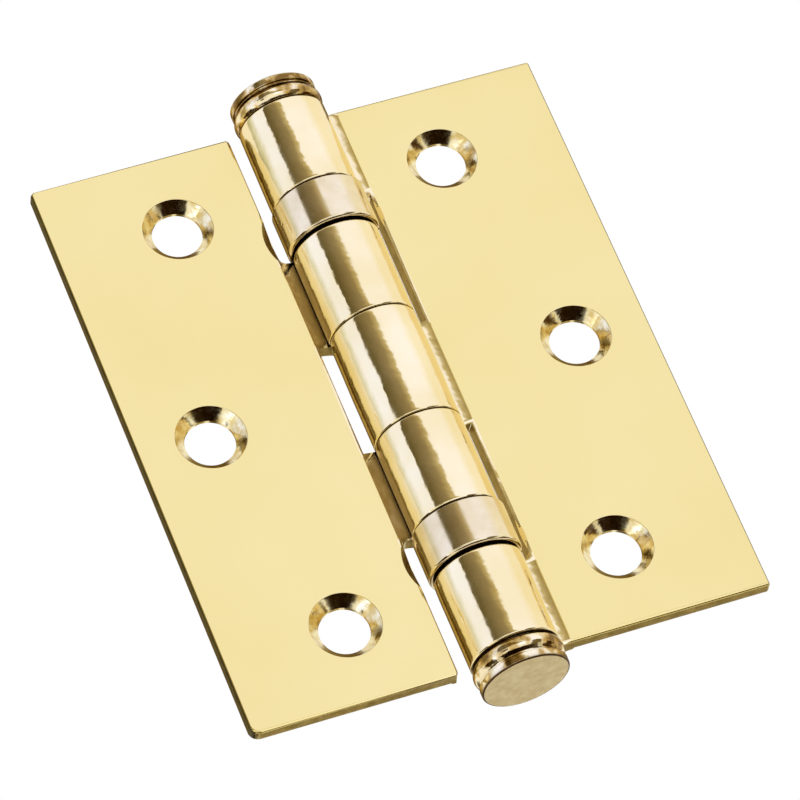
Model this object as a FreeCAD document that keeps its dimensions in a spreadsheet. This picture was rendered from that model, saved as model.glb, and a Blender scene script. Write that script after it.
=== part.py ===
"""Ball-bearing butt door hinge, 76 mm high and 63 mm wide when open.

Frame: +Z runs up the pin, and the origin is on the pin's axis at mid-height. At rest the hinge
lies open at 180 degrees: the frame leaf reaches along +X, the door leaf along -X, and the
countersunk faces look towards -Y. Five knuckles wrap the pin. The frame leaf has the two end
knuckles and the centre one, the door leaf has the two between, and a ball bearing sits at each
end of the stack, in the space between an end knuckle and its neighbour.
"""
import FreeCAD, Part
import os

import Sketcher
from FreeCAD import Placement, Rotation, Vector

# Driving sizes: millimetres, degrees and counts.
SIZES = {
    # leaves
    "leaf_height": 76.0,
    "leaf_reach": 31.5,  # pin axis to the outer edge
    "leaf_thickness": 1.8,
    "face_offset": 0.8,  # pin axis to the countersunk face
    "edge_gap": 1.3,  # other leaf's knuckles to the leaf's inner edge
    "door_upper_corner": 0.6,
    "door_lower_corner": 1.2,
    "door_inner_corner": 0.6,
    "frame_corner": 0.3,
    # knuckles, from the middle outwards; the end ones take what is left of the leaf's height
    "barrel_radius": 5.4,
    "knuckle_wall": 1.8,
    "centre_knuckle": 14.8,
    "inner_knuckle": 12.35,
    "bearing_height": 6.5,
    "running_gap": 0.1,  # between the centre knuckle and its neighbours
    "root_radius": 6.0,  # concave bend between the barrel and the back face
    "swage_width": 1.65,  # sloping strip between the barrel and the flat face
    "seam_angle": 11.5,  # where the curl's free end meets the leaf
    "seam_width": 0.15,
    "seam_mouth": 0.28,  # the same slit at the barrel's surface
    # screw holes
    "hole_diameter": 6.0,
    "countersink_diameter": 8.4,
    "countersink_angle": 82.0,
    "outer_hole_inset": 14.9,  # outer edge to the two outer holes
    "middle_hole_inset": 8.9,  # outer edge to the middle hole
    "hole_end_margin": 10.0,  # leaf's end to an outer hole
    # relief of the inner edge beside each bearing
    "relief_centre": 0.95,  # pin axis to the relief's own axis
    "door_relief_radius": 6.6,
    "frame_relief_radius": 6.2,
    "relief_depth": 0.6,
    "relief_slope": 53.0,  # flank, measured from the relief's axis
    # pin and tips
    "pin_clearance": 0.05,
    "pin_chamfer": 0.3,
    "pin_end_gap": 0.2,  # pin to the spigot of a tip
    "spigot_length": 2.8,
    "tip_neck_radius": 4.9,
    "tip_neck_height": 0.2,
    "bead_radius": 5.5,
    "bead_end_radius": 5.0,
    "bead_height": 1.95,
    "tip_groove_radius": 4.95,
    "tip_groove_height": 0.4,
    "tip_disc_radius": 5.3,
    "tip_disc_height": 0.95,
    "tip_disc_chamfer": 0.25,
    # bearings
    "shell_overhang": 0.3,  # shell beyond the barrel
    "shell_wall": 0.35,
    "shell_top_gap": 0.25,
    "shell_bottom_gap": 0.35,
    "lip_height": 0.45,
    "lip_reach": 0.85,  # how far the rolled lip turns in
    "race_pin_clearance": 0.1,
    "race_shell_clearance": 0.05,
    "boss_clearance": 0.1,
    "lower_race_height": 3.15,
    "ball_diameter": 1.0,
    "ball_count": 16,
    "ball_clearance": 0.03,
    "track_depth": 0.2,
    "cage_thickness": 0.4,
    "cage_clearance": 0.1,
    "cage_pocket_clearance": 0.05,
}

# Places and sizes that follow from the driving ones, as expressions on the sheet.
OVERCUT = "1"
BACK = "(Sizes.face_offset + Sizes.leaf_thickness)"
INNER_EDGE = "(Sizes.barrel_radius + Sizes.edge_gap)"
BORE = "(Sizes.barrel_radius - Sizes.knuckle_wall)"
PIN = f"({BORE} - Sizes.pin_clearance)"
BEARING_LOW = "(Sizes.centre_knuckle / 2 + Sizes.inner_knuckle)"
BEARING_MIDDLE = f"({BEARING_LOW} + Sizes.bearing_height / 2)"
BEARING_HIGH = f"({BEARING_LOW} + Sizes.bearing_height)"
HALF_HEIGHT = "(Sizes.leaf_height / 2)"
CENTRE_END = "(Sizes.centre_knuckle / 2 - Sizes.running_gap / 2)"
NEXT_START = "(Sizes.centre_knuckle / 2 + Sizes.running_gap / 2)"
SWAGE_START = "(Sizes.barrel_radius + Sizes.swage_width)"
SEAM_LIP = "(Sizes.seam_angle * 1 deg + asin(Sizes.seam_mouth / 2 / Sizes.barrel_radius))"
SHELL = "(Sizes.barrel_radius + Sizes.shell_overhang)"
SHELL_INSIDE = f"({SHELL} - Sizes.shell_wall)"
RACE_BORE = f"({PIN} + Sizes.race_pin_clearance)"
FLANGE = f"({SHELL_INSIDE} - Sizes.race_shell_clearance)"
LIP_INSIDE = f"({SHELL} - Sizes.lip_reach)"
BOSS = f"({LIP_INSIDE} - Sizes.boss_clearance)"
LIP_TOP = "(Sizes.shell_bottom_gap + Sizes.lip_height)"
PITCH = f"(({RACE_BORE} + {FLANGE}) / 2)"
RACE_GAP = "(Sizes.ball_diameter - 2 * Sizes.track_depth + 2 * Sizes.ball_clearance)"
BALL_HEIGHT = f"(Sizes.lower_race_height + {RACE_GAP} / 2)"
TRACK = "(Sizes.ball_diameter / 2 + Sizes.ball_clearance)"

doc = FreeCAD.newDocument("door_hinge")


def make_sheet():
    """Write every driving size in a named cell."""
    sheet = doc.addObject("Spreadsheet::Sheet", "Sizes")
    for row, (alias, size) in enumerate(SIZES.items(), start=1):
        sheet.set(f"A{row}", alias)
        sheet.set(f"B{row}", str(size))
        sheet.setAlias(f"B{row}", alias)
    doc.recompute()
    return sheet


def value(expression):
    """The present value of an expression on the sheet, as a plain number."""
    result = sheet.evalExpression(expression)
    return float(getattr(result, "Value", result))


def make_body(name):
    """An empty body whose Label names its node."""
    body = doc.addObject("PartDesign::Body", name)
    body.Label = name
    return body


def origin_feature(body, role):
    """One of the body's own origin planes or axes."""
    return next(item for item in body.Origin.OriginFeatures if item.Role == role)


def make_sketch(body, name, plane, shift=("0", "0", "0")):
    """A sketch on an origin plane, with its own origin moved in the sketch's directions."""
    sketch = body.newObject("Sketcher::SketchObject", name)
    sketch.AttachmentSupport = (origin_feature(body, plane), [""])
    sketch.MapMode = "FlatFace"
    for axis, distance in zip("xyz", shift):
        if distance != "0":
            sketch.setExpression(f"AttachmentOffset.Base.{axis}", distance)
    return sketch


def place_point(sketch, geometry, position, point):
    """Pin one point of a sketch to a pair of expressions."""
    for kind, distance in zip(("DistanceX", "DistanceY"), point):
        index = sketch.addConstraint(
            Sketcher.Constraint(kind, -1, 1, geometry, position, value(distance))
        )
        sketch.setExpression(f"Constraints[{index}]", distance)


def draw_outline(sketch, corners):
    """Draw a closed outline through corners given as expressions (x, y) or (x, y, radius).

    A corner with a radius starts an arc to the next corner. The arc turns anticlockwise if the
    radius is positive, and clockwise if it is negative.
    """
    first = len(sketch.Geometry)
    count = len(corners)
    spots = [Vector(value(corner[0]), value(corner[1]), 0) for corner in corners]
    for number, corner in enumerate(corners):
        start = spots[number]
        end = spots[(number + 1) % count]
        if len(corner) == 2:
            sketch.addGeometry(Part.LineSegment(start, end))
            continue
        radius = value(corner[2])
        chord = end - start
        across = Vector(-chord.y, chord.x, 0).normalize()
        depth = (radius**2 - (chord.Length / 2) ** 2) ** 0.5
        sign = 1 if radius > 0 else -1
        centre = (start + end) / 2 + across * depth * sign
        middle = centre - across * abs(radius) * sign
        sketch.addGeometry(Part.Arc(start, middle, end))
    for number, corner in enumerate(corners):
        geometry = first + number
        following = first + (number + 1) % count
        turns_back = len(corner) == 3 and value(corner[2]) < 0
        next_corner = corners[(number + 1) % count]
        next_turns_back = len(next_corner) == 3 and value(next_corner[2]) < 0
        start_point = 2 if turns_back else 1
        end_point = 1 if turns_back else 2
        next_start = 2 if next_turns_back else 1
        sketch.addConstraint(
            Sketcher.Constraint("Coincident", geometry, end_point, following, next_start)
        )
        place_point(sketch, geometry, start_point, corner[:2])
        if len(corner) == 3:
            radius = f"abs({corner[2]})"
            index = sketch.addConstraint(
                Sketcher.Constraint("Radius", geometry, value(radius))
            )
            sketch.setExpression(f"Constraints[{index}]", radius)


def draw_circle(sketch, centre, radius):
    """Draw a circle from expressions for its centre and its radius."""
    middle = Vector(value(centre[0]), value(centre[1]), 0)
    geometry = sketch.addGeometry(Part.Circle(middle, Vector(0, 0, 1), value(radius)))
    place_point(sketch, geometry, 3, centre)
    index = sketch.addConstraint(Sketcher.Constraint("Radius", geometry, value(radius)))
    sketch.setExpression(f"Constraints[{index}]", radius)


def add_prism(body, kind, name, sketch, length):
    """A Pad or Pocket that reaches the same way on both sides of its sketch."""
    feature = body.newObject(f"PartDesign::{kind}", name)
    feature.Profile = sketch
    feature.SideType = "Symmetric"
    feature.setExpression("Length", length)
    sketch.Visibility = False
    doc.recompute()
    return feature


def add_turning(body, kind, name, sketch):
    """A Revolution or Groove about the sketch's upright axis."""
    feature = body.newObject(f"PartDesign::{kind}", name)
    feature.Profile = sketch
    feature.ReferenceAxis = (sketch, ["V_Axis"])
    feature.Angle = 360
    sketch.Visibility = False
    doc.recompute()
    return feature


def add_mirror(body, name, feature):
    """The same feature again, mirrored from the upper half to the lower half."""
    mirror = body.newObject("PartDesign::Mirrored", name)
    mirror.Originals = [feature]
    mirror.MirrorPlane = (origin_feature(body, "XY_Plane"), [""])
    body.Tip = mirror
    doc.recompute()
    return mirror


def add_fillet(body, name, wanted, radius):
    """Round each edge of the body whose middle the test accepts."""
    base = body.Tip
    names = []
    for number, edge in enumerate(base.Shape.Edges, start=1):
        if wanted(edge, edge.CenterOfMass):
            names.append(f"Edge{number}")
    fillet = body.newObject("PartDesign::Fillet", name)
    fillet.Base = (base, names)
    fillet.setExpression("Radius", radius)
    doc.recompute()
    return fillet


def near(first, second):
    """Whether two lengths agree to a hundredth of a millimetre."""
    return abs(first - second) < 0.01


def runs_through(edge):
    """Whether an edge is a straight one along Y, from face to face of a leaf."""
    return near(abs(edge.Vertexes[0].Y - edge.Vertexes[-1].Y), edge.Length)


def add_barrel_and_plate(body, side):
    """The full-height section of a leaf: barrel, sloping strip, flat plate and root bend."""
    sketch = make_sketch(body, "barrel_section", "XY_Plane")
    draw_circle(sketch, ("0", "0"), "Sizes.barrel_radius")
    add_prism(body, "Pad", "barrel", sketch, f"2 * {HALF_HEIGHT}")
    sketch = make_sketch(body, "plate_section", "XY_Plane")
    draw_outline(
        sketch,
        [
            (f"{side} * Sizes.leaf_reach", "Sizes.face_offset"),
            (f"{side} * {SWAGE_START}", "Sizes.face_offset"),
            (
                f"{side} * Sizes.barrel_radius * cos({SEAM_LIP})",
                f"Sizes.barrel_radius * sin({SEAM_LIP})",
            ),
            ("0", "0"),
            ("0", BACK),
            (f"{side} * Sizes.leaf_reach", BACK),
        ],
    )
    add_prism(body, "Pad", "plate", sketch, f"2 * {HALF_HEIGHT}")
    root_x = side * value(f"sqrt(Sizes.barrel_radius^2 - {BACK}^2)")
    add_fillet(
        body,
        "root_bend",
        lambda edge, middle: near(middle.x, root_x) and near(middle.y, value(BACK)),
        "Sizes.root_radius",
    )


def cut_bore_and_seam(body, side):
    """The hole for the pin, and the slit where the curl's free end stops."""
    sketch = make_sketch(body, "bore_section", "XY_Plane")
    draw_circle(sketch, ("0", "0"), BORE)
    add_prism(body, "Pocket", "bore", sketch, f"2 * {HALF_HEIGHT}")
    sketch = make_sketch(body, "seam_section", "XY_Plane")
    corners = []
    for along, across in (
        (f"{BORE} / 2", "-Sizes.seam_width / 2"),
        (BORE, "-Sizes.seam_width / 2"),
        ("(Sizes.barrel_radius + Sizes.seam_width / 4)", "-Sizes.seam_mouth / 2"),
        ("(Sizes.barrel_radius + Sizes.seam_width / 4)", "Sizes.seam_mouth / 2"),
        (BORE, "Sizes.seam_width / 2"),
        (f"{BORE} / 2", "Sizes.seam_width / 2"),
    ):
        corners.append(
            (
                f"{side} * ({along} * cos(Sizes.seam_angle) - ({across}) * sin(Sizes.seam_angle))",
                f"{along} * sin(Sizes.seam_angle) + ({across}) * cos(Sizes.seam_angle)",
            )
        )
    draw_outline(sketch, corners)
    add_prism(body, "Pocket", "seam", sketch, f"2 * {HALF_HEIGHT}")


def cut_notch(body, name, side, low, high):
    """Clear the barrel and the inner edge for the other leaf, between two heights."""
    sketch = make_sketch(body, f"{name}_outline", "XZ_Plane")
    inward = f"{-side} * ({SHELL} + {OVERCUT})"
    draw_outline(
        sketch,
        [
            (inward, low),
            (f"{side} * {INNER_EDGE}", low),
            (f"{side} * {INNER_EDGE}", high),
            (inward, high),
        ],
    )
    return add_prism(body, "Pocket", name, sketch, f"4 * {SHELL}")


def round_corners(body, name, distance, radius, ends=(1, -1)):
    """Round the plate's corners at one distance from the pin, at the upper end, the lower or both."""
    add_fillet(
        body,
        name,
        lambda edge, middle: near(middle.x, distance)
        and any(near(middle.z, end * value(HALF_HEIGHT)) for end in ends)
        and runs_through(edge),
        radius,
    )


def cut_screw_holes(body, side):
    """Three countersunk holes: two in line and the middle one further out."""
    sketch = make_sketch(body, "hole_places", "XZ_Plane", ("0", "0", "-Sizes.face_offset"))
    outer = f"{side} * (Sizes.leaf_reach - Sizes.outer_hole_inset)"
    middle = f"{side} * (Sizes.leaf_reach - Sizes.middle_hole_inset)"
    height = f"({HALF_HEIGHT} - Sizes.hole_end_margin)"
    for place in ((outer, height), (middle, "0"), (outer, f"-{height}")):
        draw_circle(sketch, place, "Sizes.hole_diameter / 2")
    doc.recompute()
    hole = body.newObject("PartDesign::Hole", "screw_holes")
    hole.Profile = sketch
    hole.ThreadType = "None"
    hole.DepthType = "ThroughAll"
    hole.HoleCutType = "Countersink"
    hole.HoleCutCustomValues = True
    hole.setExpression("Diameter", "Sizes.hole_diameter")
    hole.setExpression("HoleCutDiameter", "Sizes.countersink_diameter")
    hole.setExpression("HoleCutCountersinkAngle", "Sizes.countersink_angle")
    sketch.Visibility = False
    doc.recompute()


def cut_bearing_reliefs(body, side, radius):
    """Crescent of a cone cut in the inner edge of the face, beside each bearing."""
    sketch = make_sketch(
        body,
        "relief_section",
        "XY_Plane",
        (f"{side} * Sizes.relief_centre", "0", BEARING_MIDDLE),
    )
    spread = "tan(Sizes.relief_slope)"
    draw_outline(
        sketch,
        [
            ("0", f"Sizes.face_offset - {OVERCUT}"),
            (f"{side} * ({radius} + {OVERCUT} * {spread})", f"Sizes.face_offset - {OVERCUT}"),
            (
                f"{side} * ({radius} - Sizes.relief_depth * {spread})",
                "Sizes.face_offset + Sizes.relief_depth",
            ),
            ("0", "Sizes.face_offset + Sizes.relief_depth"),
        ],
    )
    relief = add_turning(body, "Groove", "relief", sketch)
    relief.Midplane = True
    relief.setExpression("Angle", f"2 * asin(Sizes.bearing_height / 2 / {radius})")
    doc.recompute()
    add_mirror(body, "lower_relief", relief)


def make_frame_leaf():
    """The leaf screwed to the frame: the two end knuckles and the centre one."""
    body = make_body("frame_leaf")
    side = 1
    add_barrel_and_plate(body, side)
    cut_bore_and_seam(body, side)
    notch = cut_notch(body, "notch", side, CENTRE_END, BEARING_HIGH)
    add_mirror(body, "lower_notch", notch)
    round_corners(body, "outer_corners", value("Sizes.leaf_reach"), "Sizes.frame_corner")
    cut_screw_holes(body, side)
    cut_bearing_reliefs(body, side, "Sizes.frame_relief_radius")
    return body


def make_door_leaf():
    """The leaf screwed to the door: the two knuckles between the frame leaf's."""
    body = make_body("door_leaf")
    side = -1
    add_barrel_and_plate(body, side)
    cut_bore_and_seam(body, side)
    cut_notch(body, "centre_notch", side, f"-{NEXT_START}", NEXT_START)
    notch = cut_notch(body, "end_notch", side, BEARING_LOW, f"{HALF_HEIGHT} + {OVERCUT}")
    add_mirror(body, "lower_end_notch", notch)
    reach = value("Sizes.leaf_reach")
    round_corners(body, "upper_outer_corner", -reach, "Sizes.door_upper_corner", ends=(1,))
    round_corners(body, "lower_outer_corner", -reach, "Sizes.door_lower_corner", ends=(-1,))
    round_corners(body, "inner_corners", -value(INNER_EDGE), "Sizes.door_inner_corner")
    cut_screw_holes(body, side)
    cut_bearing_reliefs(body, side, "Sizes.door_relief_radius")
    return body


def make_turned(name, corners, height="0"):
    """A piece turned about the pin's axis from its half section, raised to a height."""
    body = make_body(name)
    sketch = make_sketch(body, "half_section", "XZ_Plane")
    draw_outline(sketch, corners)
    add_turning(body, "Revolution", "turning", sketch)
    if height != "0":
        body.setExpression(".Placement.Base.z", height)
    return body


def make_pin():
    """The straight dowel that all five knuckles turn on."""
    end = f"({HALF_HEIGHT} - Sizes.spigot_length - Sizes.pin_end_gap)"
    return make_turned(
        "hinge_pin",
        [
            ("0", f"-{end}"),
            (f"{PIN} - Sizes.pin_chamfer", f"-{end}"),
            (PIN, f"-{end} + Sizes.pin_chamfer"),
            (PIN, f"{end} - Sizes.pin_chamfer"),
            (f"{PIN} - Sizes.pin_chamfer", end),
            ("0", end),
        ],
    )


def make_tip(name, turn):
    """A turned end cap with a bead and a disc, its spigot pressed in the end knuckle's bore."""
    neck = "Sizes.tip_neck_height"
    bead = f"({neck} + Sizes.bead_height)"
    groove = f"({bead} + Sizes.tip_groove_height)"
    top = f"({groove} + Sizes.tip_disc_height)"
    bulge = "(Sizes.bead_radius - Sizes.bead_end_radius)"
    curve = f"(({bulge}^2 + (Sizes.bead_height / 2)^2) / (2 * {bulge}))"
    body = make_turned(
        name,
        [
            ("0", "-Sizes.spigot_length"),
            (f"{BORE} - Sizes.pin_chamfer", "-Sizes.spigot_length"),
            (BORE, "-Sizes.spigot_length + Sizes.pin_chamfer"),
            (BORE, "0"),
            ("Sizes.tip_neck_radius", "0"),
            ("Sizes.tip_neck_radius", neck),
            ("Sizes.bead_end_radius", neck, curve),
            ("Sizes.bead_end_radius", bead),
            ("Sizes.tip_groove_radius", bead),
            ("Sizes.tip_groove_radius", groove),
            ("Sizes.tip_disc_radius", groove),
            ("Sizes.tip_disc_radius", f"{top} - Sizes.tip_disc_chamfer"),
            ("Sizes.tip_disc_radius - Sizes.tip_disc_chamfer", top),
            ("0", top),
        ],
        HALF_HEIGHT if turn == 0 else f"-{HALF_HEIGHT}",
    )
    body.Placement = Placement(body.Placement.Base, Rotation(Vector(1, 0, 0), turn))
    return body


def make_shell(name, height):
    """The bearing's thin outer shell, its lower rim rolled in under the lower race."""
    rim = "Sizes.shell_bottom_gap"
    roll = "Sizes.lip_height"
    inside_roll = "(Sizes.lip_height - Sizes.shell_wall)"
    top = "(Sizes.bearing_height - Sizes.shell_top_gap)"
    return make_turned(
        name,
        [
            (LIP_INSIDE, rim),
            (f"{SHELL} - {roll}", rim, roll),
            (SHELL, LIP_TOP),
            (SHELL, top),
            (SHELL_INSIDE, top),
            (SHELL_INSIDE, LIP_TOP, f"-{inside_roll}"),
            (f"{SHELL_INSIDE} - {inside_roll}", f"{rim} + Sizes.shell_wall"),
            (LIP_INSIDE, f"{rim} + Sizes.shell_wall"),
        ],
        height,
    )


def cut_ball_track(body):
    """The round groove in which the balls run."""
    sketch = make_sketch(body, "track_section", "XZ_Plane")
    draw_circle(sketch, (PITCH, BALL_HEIGHT), TRACK)
    add_turning(body, "Groove", "track", sketch)


def make_upper_race(name, height):
    """The race pressed in the shell, against the knuckle above."""
    low = f"(Sizes.lower_race_height + {RACE_GAP})"
    body = make_turned(
        name,
        [
            (RACE_BORE, low),
            (SHELL_INSIDE, low),
            (SHELL_INSIDE, "Sizes.bearing_height"),
            (RACE_BORE, "Sizes.bearing_height"),
        ],
        height,
    )
    cut_ball_track(body)
    return body


def make_lower_race(name, height):
    """The race on the knuckle below, with a boss that passes through the shell's lip."""
    body = make_turned(
        name,
        [
            (RACE_BORE, "0"),
            (BOSS, "0"),
            (BOSS, LIP_TOP),
            (FLANGE, LIP_TOP),
            (FLANGE, "Sizes.lower_race_height"),
            (RACE_BORE, "Sizes.lower_race_height"),
        ],
        height,
    )
    cut_ball_track(body)
    return body


def make_ball_cage(name, height):
    """The flat ring that keeps the balls apart, with a round pocket for each."""
    low = f"({BALL_HEIGHT} - Sizes.cage_thickness / 2)"
    high = f"({BALL_HEIGHT} + Sizes.cage_thickness / 2)"
    inner = f"({RACE_BORE} + Sizes.cage_clearance / 2)"
    outer = f"({SHELL_INSIDE} - Sizes.cage_clearance)"
    body = make_turned(
        name,
        [(inner, low), (outer, low), (outer, high), (inner, high)],
        height,
    )
    sketch = make_sketch(body, "pocket_place", "XY_Plane", ("0", "0", BALL_HEIGHT))
    draw_circle(sketch, (PITCH, "0"), "Sizes.ball_diameter / 2 + Sizes.cage_pocket_clearance")
    pocket = add_prism(body, "Pocket", "pocket", sketch, "2 * Sizes.cage_thickness")
    pattern = body.newObject("PartDesign::PolarPattern", "pockets")
    pattern.Originals = [pocket]
    pattern.Axis = (origin_feature(body, "Z_Axis"), [""])
    pattern.Angle = 360
    pattern.setExpression("Occurrences", "Sizes.ball_count")
    body.Tip = pattern
    doc.recompute()
    return body


def make_balls(name, height):
    """The ring of separate balls, one solid each."""
    balls = []
    count = int(value("Sizes.ball_count"))
    for number in range(count):
        ball = doc.addObject("Part::Sphere", f"{name}_{number + 1}")
        ball.setExpression("Radius", "Sizes.ball_diameter / 2")
        turn = f"({number} * 360 / {count})"
        ball.setExpression(".Placement.Base.x", f"{PITCH} * cos({turn})")
        ball.setExpression(".Placement.Base.y", f"{PITCH} * sin({turn})")
        ball.setExpression(".Placement.Base.z", BALL_HEIGHT)
        balls.append(ball)
    group = doc.addObject("Part::Compound", name)
    group.Label = name
    group.Links = balls
    group.setExpression(".Placement.Base.z", height)
    doc.recompute()
    return group


def make_bearing(prefix, height):
    """The five kinds of piece in one bearing, on a base at the given height."""
    return [
        make_shell(f"{prefix}_bearing_shell", height),
        make_upper_race(f"{prefix}_bearing_top_race", height),
        make_lower_race(f"{prefix}_bearing_bottom_race", height),
        make_ball_cage(f"{prefix}_ball_cage", height),
        make_balls(f"{prefix}_balls", height),
    ]


def check_and_write(pieces):
    """Stop at the first failed object or bad shape, and otherwise write each node's file."""
    doc.recompute()
    for item in doc.Objects:
        if "Invalid" in item.State or "Error" in item.State:
            raise RuntimeError(f"{item.Name} failed: {item.State}")
    for piece in pieces:
        if piece.Shape.isNull() or not piece.Shape.isValid():
            raise RuntimeError(f"{piece.Label} has no valid shape")
    os.makedirs("parts", exist_ok=True)
    for piece in pieces:
        piece.Shape.exportStep(f"parts/{piece.Label}.step")


sheet = make_sheet()
nodes = [
    make_frame_leaf(),
    make_door_leaf(),
    make_pin(),
    make_tip("top_tip", 0),
    make_tip("bottom_tip", 180),
]
nodes += make_bearing("upper", BEARING_LOW)
nodes += make_bearing("lower", f"-{BEARING_HIGH}")
check_and_write(nodes)
for node in nodes:
    box = node.Shape.BoundBox
    print(
        f"{node.Label}: {len(node.Shape.Solids)} solids, volume {node.Shape.Volume:.3f},",
        f"x {box.XMin:.2f}..{box.XMax:.2f} y {box.YMin:.2f}..{box.YMax:.2f}",
        f"z {box.ZMin:.2f}..{box.ZMax:.2f}",
    )
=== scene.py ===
"""Polished brass ball-bearing door hinge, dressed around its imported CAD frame.

The leaves, the turned tips and the bearing shells are modelled again here as smooth meshes at
the frame's own sizes, because a polished surface shows every facet. The pin, races, cages and
balls are the frame's own nodes, each with a finish of its own.
"""

from __future__ import annotations

import logging
import math
from dataclasses import dataclass, field, replace
from enum import Enum, IntEnum
from typing import Callable, Iterable

import bmesh
import bpy
from mathutils import Matrix, Vector

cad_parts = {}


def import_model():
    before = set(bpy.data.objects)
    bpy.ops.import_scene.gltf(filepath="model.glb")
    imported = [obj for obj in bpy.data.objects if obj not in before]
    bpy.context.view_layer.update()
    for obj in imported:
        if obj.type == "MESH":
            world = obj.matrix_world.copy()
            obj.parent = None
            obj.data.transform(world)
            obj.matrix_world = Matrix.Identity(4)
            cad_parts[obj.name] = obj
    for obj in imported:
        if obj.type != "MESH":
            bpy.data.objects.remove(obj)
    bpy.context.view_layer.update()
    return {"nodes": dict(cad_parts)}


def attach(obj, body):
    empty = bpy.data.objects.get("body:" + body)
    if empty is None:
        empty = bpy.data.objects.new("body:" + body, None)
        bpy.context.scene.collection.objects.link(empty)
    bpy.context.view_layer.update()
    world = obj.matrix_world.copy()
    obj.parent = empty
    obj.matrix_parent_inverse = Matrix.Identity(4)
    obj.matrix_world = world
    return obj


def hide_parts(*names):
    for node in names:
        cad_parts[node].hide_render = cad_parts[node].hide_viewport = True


LOG = logging.getLogger("door_hinge")
MM = 0.001
# Millimetres within which two measures count as the same, and the largest clamped rounding.
CLOSE = 0.01
CLAMPED_BELOW = 0.1
# An edge runs along an axis from this share of its length. A face looks along one roughly,
# nearly, squarely or flatly from these parts of its normal.
RUNS_ALONG = 0.9
ROUGHLY, NEARLY, SQUARELY, FLATLY = 0.6, 0.8, 0.9, 0.99
# How near a vertex has to be, in its mesh's unit, to count as on a cutting plane.
ON_PLANE = 1e-5
ON_CROWN_PLANE = 1e-8
# The spans of noise, of a pit's wall and of open sky that a finish spreads from 0 to 1.
NOISE_SPAN = {"From Min": 0.35, "From Max": 0.65}
PIT_SPAN = {"From Min": 0.02, "From Max": 0.22}
CREVICE_SPAN = {"From Min": 0.7, "From Max": 0.3}
SOFT_ENDS = {"interpolation_type": "SMOOTHSTEP"}


class Side(Enum):
    """Which way a leaf reaches from the pin."""

    FRAME = 1
    DOOR = -1


class End(Enum):
    """Which end of the pin a tip closes."""

    TOP = 1
    BOTTOM = -1


class Pattern(Enum):
    """The kinds of fine relief that a finish can carry."""

    WAVES = "waves"
    PITS = "pits"


class Skin(IntEnum):
    """The finishes of a leaf's faces, in the order of its material slots."""

    SHEET = 0
    CURLED = 1
    BLANKED = 2
    CUT = 3
    SHEARED = 4


# ------------------------ colours and nodes


def srgb(code: str) -> tuple[float, float, float, float]:
    """Turn an sRGB hex colour into linear RGBA.

    Args:
        code: six hex digits after a hash sign.

    Returns:
        The colour's linear red, green and blue, and an alpha of 1.
    """
    channels = (int(code[place : place + 2], 16) / 255 for place in (1, 3, 5))
    red, green, blue = (
        c / 12.92 if c <= 0.04045 else ((c + 0.055) / 1.055) ** 2.4 for c in channels
    )
    return red, green, blue, 1.0


def add_node(
    tree: bpy.types.NodeTree,
    kind: str,
    inputs: dict[str | int, object],
    **settings: object,
) -> bpy.types.Node:
    """Add a shader node with its settings and its inputs.

    Args:
        tree: the node tree that gets the node.
        kind: the node's type, without its ShaderNode prefix.
        inputs: input sockets by name or number. An output socket is linked, and anything else
            becomes the socket's value.
        settings: the node's own properties.

    Returns:
        The new node.
    """
    node = tree.nodes.new(f"ShaderNode{kind}")
    for name, setting in settings.items():
        setattr(node, name, setting)
    for socket, given in inputs.items():
        if isinstance(given, bpy.types.NodeSocket):
            tree.links.new(given, node.inputs[socket])
        else:
            node.inputs[socket].default_value = given
    return node


def fresh_tree(owner: bpy.types.Material | bpy.types.World) -> bpy.types.NodeTree:
    """Switch a material or a world to nodes, and empty its node tree."""
    owner.use_nodes = True
    owner.node_tree.nodes.clear()
    return owner.node_tree


def set_stops(ramp: bpy.types.Node, stops: Iterable[tuple[float, str]]) -> None:
    """Give a colour ramp its places from 0 to 1, each with an sRGB hex colour."""
    elements = ramp.color_ramp.elements
    elements.remove(elements[1])
    for number, (place, code) in enumerate(stops):
        element = elements.new(place) if number else elements[0]
        element.position = place
        element.color = srgb(code)


# ------------------------ finishes


@dataclass(frozen=True)
class Relief:
    """One layer of fine relief: its pattern, the size of its marks and their height."""

    pattern: Pattern
    size_mm: float
    height_mm: float
    stretch: tuple[float, float, float] = (1.0, 1.0, 1.0)


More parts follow.
